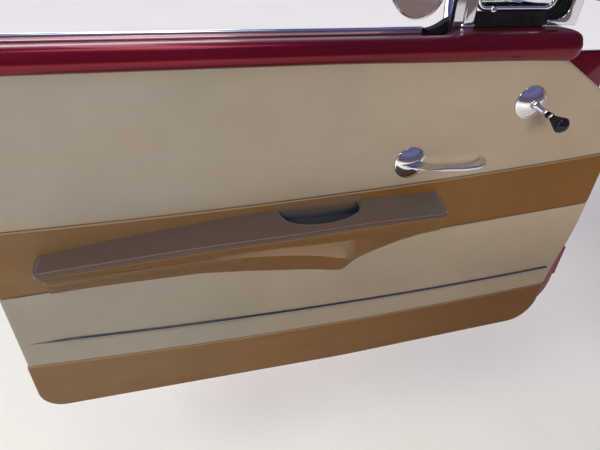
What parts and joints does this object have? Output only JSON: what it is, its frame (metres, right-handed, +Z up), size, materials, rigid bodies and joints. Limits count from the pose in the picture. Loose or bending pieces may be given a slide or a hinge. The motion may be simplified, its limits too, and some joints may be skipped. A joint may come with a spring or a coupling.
{
  "type": "1950s convertible car door",
  "caption": "Left front door of a 1950s convertible: two-tone trim, armrest, handle, vent window and crank, round mirror, hung on leaf hinges and stored open.",
  "frame": {"origin": "centre of the bolt circle on the upper hinge's pillar pad, on its mating face", "axes": "+X along the door towards its hinged front edge, +Y from the cabin side towards the outer skin, +Z up; the door is stored open by 69 degrees from the closed position"},
  "size_m": [1.2104, 0.3331, 1.0084],
  "materials": {
    "beige_vinyl": "soft satin vinyl, fine grain",
    "tan_vinyl": "soft satin vinyl, fine grain",
    "brown_vinyl": "padded vinyl with a stitched edge",
    "red_paint": "deep metallic red gloss",
    "hinge_paint": "red gloss, plain",
    "chrome": "bright plated",
    "zinc_steel": "dull plated",
    "black_rubber": "matt",
    "black_plastic": "gloss",
    "window_glass": "clear, faint green",
    "mirror_glass": "polished"
  },
  "bodies": {
    "pillar_side": {"upper_pillar_leaf": "hinge_paint", "lower_pillar_leaf": "hinge_paint", "upper_hinge_pin": "zinc_steel", "lower_hinge_pin": "zinc_steel"},
    "door": {"upper_trim_field": "beige_vinyl", "middle_trim_band": "tan_vinyl", "lower_trim_field": "beige_vinyl", "bottom_trim_band": "tan_vinyl", "trim_strip": "chrome", "inner_shell": "red_paint", "outer_skin": "red_paint", "belt_rail": "red_paint", "inner_belt_seal": "black_rubber", "outer_belt_seal": "black_rubber", "belt_strip": "chrome", "door_glass": "window_glass", "rear_glass_run": "black_rubber", "division_run": "black_rubber", "division_bar": "chrome", "vent_frame": "chrome", "vent_rubber": "black_rubber", "vent_sash": "chrome", "vent_glass": "window_glass", "weatherstrip": "black_rubber", "armrest_pad": "brown_vinyl", "armrest_base": "tan_vinyl", "armrest_shelf": "tan_vinyl", "handle_escutcheon": "chrome", "inside_handle": "chrome", "crank_escutcheon": "chrome", "vent_crank": "chrome", "crank_knob": "black_plastic", "mirror_head": "chrome", "mirror_glass": "mirror_glass", "mirror_stem": "chrome", "outside_handle": "chrome", "push_button": "chrome", "key_lock": "chrome", "latch_plate": "zinc_steel", "latch_rotor": "zinc_steel", "upper_door_leaf": "hinge_paint", "lower_door_leaf": "hinge_paint"}
  },
  "joints": [
    {"name": "door_swing", "type": "hinge", "parent": "pillar_side", "child": "door", "pos_m": [-0.03661, -0.01166, 0], "axis": [0, 0, 1], "range_deg": [0, 69]}
  ]
}
